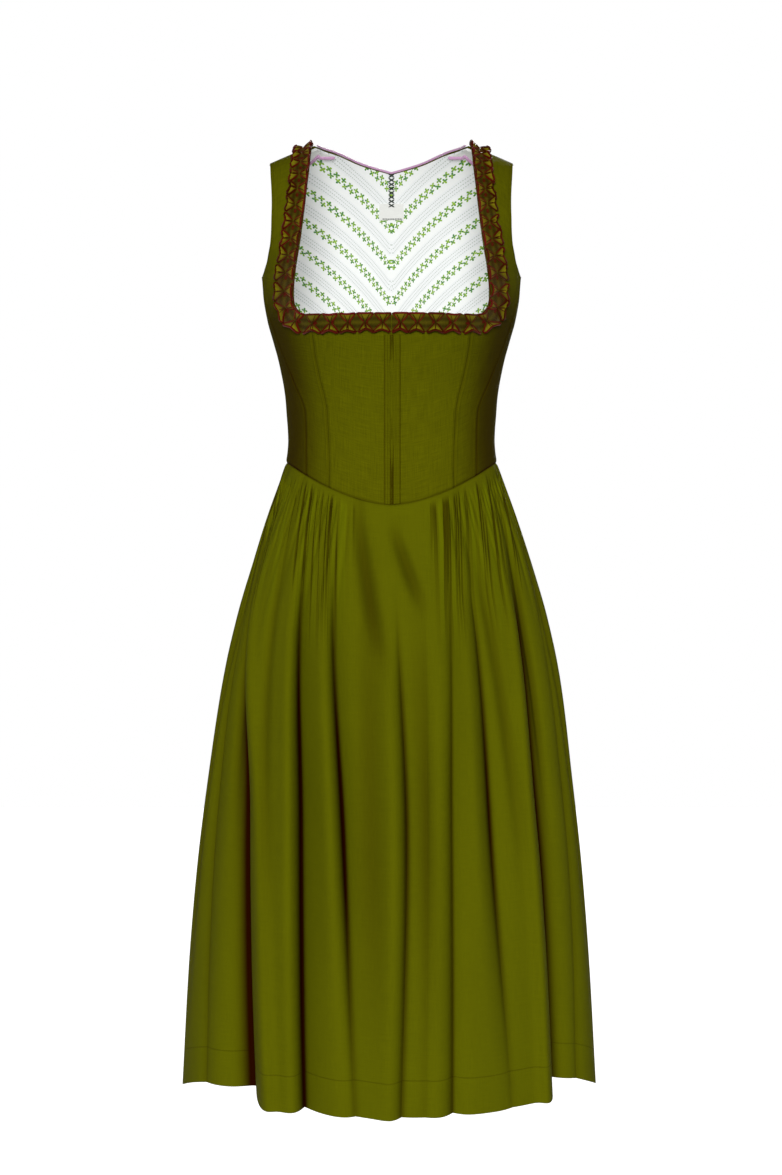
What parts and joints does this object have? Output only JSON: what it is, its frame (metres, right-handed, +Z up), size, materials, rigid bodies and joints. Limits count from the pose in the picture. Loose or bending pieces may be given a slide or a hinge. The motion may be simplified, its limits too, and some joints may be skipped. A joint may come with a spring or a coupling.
{
  "type": "dirndl dress",
  "caption": "Sleeveless dirndl dress with a fitted bodice, square ruched-trim neckline and full gathered skirt, filled out as worn.",
  "frame": {"origin": "midway between the shoulder straps, level with their inner tops, where the wearer's shoulders hold the dress", "axes": "+Z up, along the dress from hem to shoulders; the front faces -Y; +X to the wearer's left"},
  "size_m": [0.4699, 0.4342, 1.0831],
  "materials": {
    "bodice_cloth": "matte slubbed linen-cotton, olive green",
    "skirt_cloth": "plain woven cotton with a slight sheen, olive green",
    "trim_ribbon": "gathered ribbon, olive with dark red edges",
    "lining_print": "white cotton with a printed green sprig stripe",
    "piping": "satin piping, dusty mauve",
    "label": "plain woven label, off-white"
  },
  "bodies": {
    "root": {"bodice_front_left": "bodice_cloth", "bodice_front_right": "bodice_cloth", "bodice_strap_front_left": "bodice_cloth", "bodice_strap_front_right": "bodice_cloth", "bodice_side_left": "bodice_cloth", "bodice_side_right": "bodice_cloth", "bodice_back_left": "bodice_cloth", "bodice_back_right": "bodice_cloth", "lining_back_left": "lining_print", "lining_back_right": "lining_print", "neck_trim_left": "trim_ribbon", "neck_trim_right": "trim_ribbon", "shoulder_facing_left": "lining_print", "shoulder_facing_right": "lining_print", "closing_strip_left": "bodice_cloth", "closing_strip_right": "bodice_cloth", "back_neck_piping": "piping", "neck_label": "label", "skirt_front_left": "skirt_cloth", "skirt_back": "skirt_cloth", "skirt_front_right": "skirt_cloth"}
  },
  "joints": []
}
